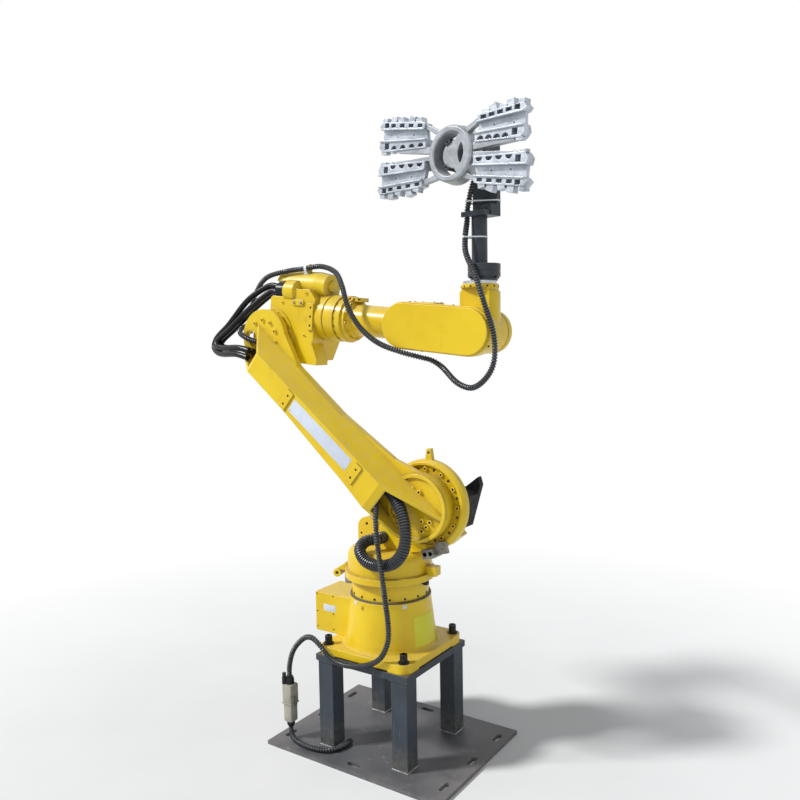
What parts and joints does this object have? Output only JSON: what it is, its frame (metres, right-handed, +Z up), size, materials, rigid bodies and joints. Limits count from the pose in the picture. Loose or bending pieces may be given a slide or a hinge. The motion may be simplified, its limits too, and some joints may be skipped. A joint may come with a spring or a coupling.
{
  "type": "industrial robot arm",
  "caption": "Yellow jointed industrial robot arm on a welded steel pedestal, its gripper holding an aluminium die-cast shot.",
  "frame": {"origin": "on the floor under the middle of the pedestal's plate, on the first (swing) axis", "axes": "+Z up along the swing axis, +X to the robot's front, +Y to the far side from the lower arm"},
  "size_m": [1.5889, 0.62, 2.4714],
  "materials": {
    "yellow_paint": "gloss paint on cast iron",
    "pedestal_paint": "satin paint on welded steel",
    "black_motor": "satin black paint",
    "cast_aluminium": "as die cast",
    "tool_steel": "satin paint",
    "grey_metal": "bare machined metal",
    "hose_rubber": "corrugated plastic conduit"
  },
  "bodies": {
    "base": {"base_plate": "pedestal_paint", "leg_front_right": "pedestal_paint", "leg_front_left": "pedestal_paint", "leg_rear_right": "pedestal_paint", "leg_rear_left": "pedestal_paint", "head_plate": "pedestal_paint", "robot_base": "yellow_paint", "connector_box": "yellow_paint", "conduit_base": "hose_rubber", "conduit_hood": "grey_metal", "conduit_floor": "hose_rubber"},
    "turret": {"turret": "yellow_paint", "shoulder": "yellow_paint", "j1_motor_housing": "yellow_paint", "stop_cylinder": "grey_metal", "j2_motor": "black_motor", "valve_block": "grey_metal", "valve_plate": "grey_metal", "shoulder_hose": "hose_rubber", "conduit_shoulder": "hose_rubber"},
    "lower_arm": {"lower_arm": "yellow_paint", "hose_cuff": "black_motor"},
    "elbow": {"elbow_casting": "yellow_paint", "hose_port": "black_motor", "elbow_motor": "black_motor", "conduit_elbow": "hose_rubber", "elbow_hose_top": "hose_rubber", "elbow_hose_near": "hose_rubber", "elbow_hose_far": "hose_rubber"},
    "forearm": {"roll_ring": "yellow_paint", "forearm_tube": "yellow_paint", "wrist_housing": "yellow_paint", "housing_cover": "yellow_paint", "top_cover": "yellow_paint", "conduit_forearm": "hose_rubber"},
    "wrist": {"wrist_barrel": "yellow_paint", "wrist_end_cap": "yellow_paint", "conduit_wrist": "hose_rubber"},
    "tool": {"faceplate": "cast_aluminium", "tool_flange": "tool_steel", "tool_column": "tool_steel", "tool_bracket": "tool_steel", "gripper_body": "tool_steel", "gripper_jaws": "tool_steel", "gate_ring": "cast_aluminium", "wing_upper_left": "cast_aluminium", "wing_lower_left": "cast_aluminium", "wing_upper_right": "cast_aluminium", "wing_lower_right": "cast_aluminium", "conduit_tool": "hose_rubber"}
  },
  "joints": [
    {"name": "j1_swing", "type": "hinge", "parent": "base", "child": "turret", "pos_m": [0, 0, 0.625], "axis": [0, 0, 1], "range_deg": [-170, 170], "deforming": ["conduit_base"]},
    {"name": "j2_lower_arm", "type": "hinge", "parent": "turret", "child": "lower_arm", "pos_m": [0.222, 0, 1.022], "axis": [0, 1, 0], "range_deg": [-15, 125], "deforming": ["shoulder_hose", "conduit_shoulder"]},
    {"name": "j3_elbow", "type": "hinge", "parent": "lower_arm", "child": "elbow", "pos_m": [-0.53993, 0, 1.67275], "axis": [0, -1, 0], "range_deg": [-10, 150], "deforming": ["conduit_elbow", "elbow_hose_top", "elbow_hose_near", "elbow_hose_far"]},
    {"name": "j4_roll", "type": "hinge", "parent": "elbow", "child": "forearm", "pos_m": [-0.52906, 0, 1.77618], "axis": [0.9945, 0, -0.1045], "range_deg": [-90, 90], "deforming": ["conduit_forearm"]},
    {"name": "j5_wrist", "type": "hinge", "parent": "forearm", "child": "wrist", "pos_m": [0.42469, 0, 1.67593], "axis": [0, 1, 0], "range_deg": [-30, 125], "deforming": ["conduit_wrist"]},
    {"name": "j6_tool", "type": "hinge", "parent": "wrist", "child": "tool", "pos_m": [0.42469, 0, 1.67593], "axis": [0, 0, 1], "range_deg": [-90, 90], "deforming": ["conduit_tool"]}
  ]
}
